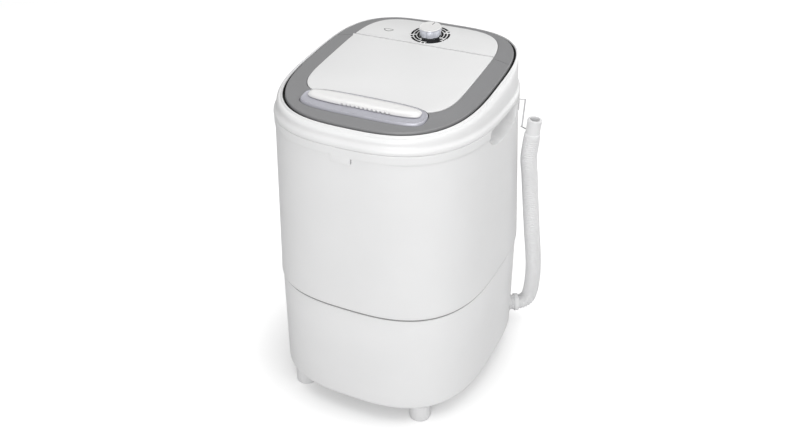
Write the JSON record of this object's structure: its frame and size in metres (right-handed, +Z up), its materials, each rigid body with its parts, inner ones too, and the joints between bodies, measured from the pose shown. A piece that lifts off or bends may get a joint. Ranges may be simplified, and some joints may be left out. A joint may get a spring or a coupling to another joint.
{
  "type": "mini washing machine",
  "caption": "Upright mini washing machine with a sloping hinged lid, timer knob, tub with pulsator, belt drive, hand-grip pockets, round feet and a ribbed drain hose.",
  "frame": {"origin": "on the floor under the middle of the body, between the feet", "axes": "+X to the right seen from the front, the front faces -Y, +Z up"},
  "size_m": [0.4031, 0.4138, 0.6004],
  "materials": {
    "body_white": "satin gloss",
    "surround_gray": "satin",
    "window_white": "satin gloss",
    "tub_white": "gloss",
    "silver_plastic": "metallic paint",
    "pearl_plastic": "pearl gloss",
    "dial_black": "matt print",
    "foot_rubber": "matt",
    "hose_plastic": "satin",
    "steel": "plain",
    "motor_metal": "cast",
    "pulley_plastic": "matt",
    "dark_plastic": "matt",
    "dark_rubber": "matt",
    "hook_plastic": "satin"
  },
  "bodies": {
    "housing": {"bearing_housing": "motor_metal", "bottom_plate": "steel", "bottom_screw_1": "steel", "bottom_screw_2": "steel", "bottom_screw_3": "steel", "bottom_screw_4": "steel", "capacitor": "pulley_plastic", "capacitor_clip": "steel", "collar": "body_white", "control_panel_bezel": "surround_gray", "control_panel_plate": "window_white", "cord_gland": "dark_plastic", "dial_ring": "dial_black", "drain_hose": "hose_plastic", "drain_outlet": "body_white", "drain_pipe": "hose_plastic", "drive_belt": "dark_rubber", "foot_front_left": "foot_rubber", "foot_front_right": "foot_rubber", "foot_rear_left": "foot_rubber", "foot_rear_right": "foot_rubber", "hose_clamp": "steel", "hose_cuff": "hose_plastic", "hose_hook": "hook_plastic", "lower_bearing": "steel", "lower_casing": "body_white", "motor_body": "motor_metal", "motor_bolt_1": "steel", "motor_bolt_2": "steel", "motor_bolt_3": "steel", "motor_bolt_4": "steel", "motor_bracket": "steel", "overflow_cover": "tub_white", "shaft_seal": "dark_rubber", "timer_body": "dark_plastic", "tub_screw_1": "steel", "tub_screw_2": "steel", "tub_screw_3": "steel", "tub_screw_4": "steel", "upper_bearing": "steel", "upper_casing": "body_white", "wash_tub": "tub_white", "wiring_loom": "dark_plastic"},
    "lid": {"lid_frame": "surround_gray", "lid_panel": "window_white", "lid_handle_base": "silver_plastic", "lid_handle_grip": "pearl_plastic", "lid_hinge_pin_left": "steel", "lid_hinge_pin_right": "steel"},
    "timer": {"timer_knob": "pearl_plastic", "timer_shaft": "steel"},
    "pulsator_drive": {"pulsator": "silver_plastic", "pulsator_screw": "steel", "pulsator_shaft": "steel", "pulsator_pulley": "pulley_plastic", "pulsator_pulley_nut": "steel"},
    "motor_rotor": {"motor_shaft": "steel", "motor_pulley": "pulley_plastic", "motor_pulley_nut": "steel"}
  },
  "joints": [
    {"name": "lid_hinge", "type": "hinge", "parent": "housing", "child": "lid", "pos_m": [0, 0.08053, 0.57572], "axis": [-1, 0, 0], "range_deg": [0, 100]},
    {"name": "timer_turn", "type": "hinge", "parent": "housing", "child": "timer", "pos_m": [0, 0.11956, 0.58969], "axis": [0, 0.0976, -0.9952], "range_deg": [0, 300]},
    {"name": "pulsator_spin", "type": "hinge", "parent": "housing", "child": "pulsator_drive", "pos_m": [0, -0.018, 0.2], "axis": [0, 0, 1], "continuous": true},
    {"name": "motor_spin", "type": "hinge", "parent": "housing", "child": "motor_rotor", "pos_m": [-0.045, 0.07, 0.15], "axis": [0, 0, 1], "continuous": true}
  ],
  "couplings": [
    {"joint": "motor_spin", "follows": "pulsator_spin", "ratio": 3.0588}
  ]
}
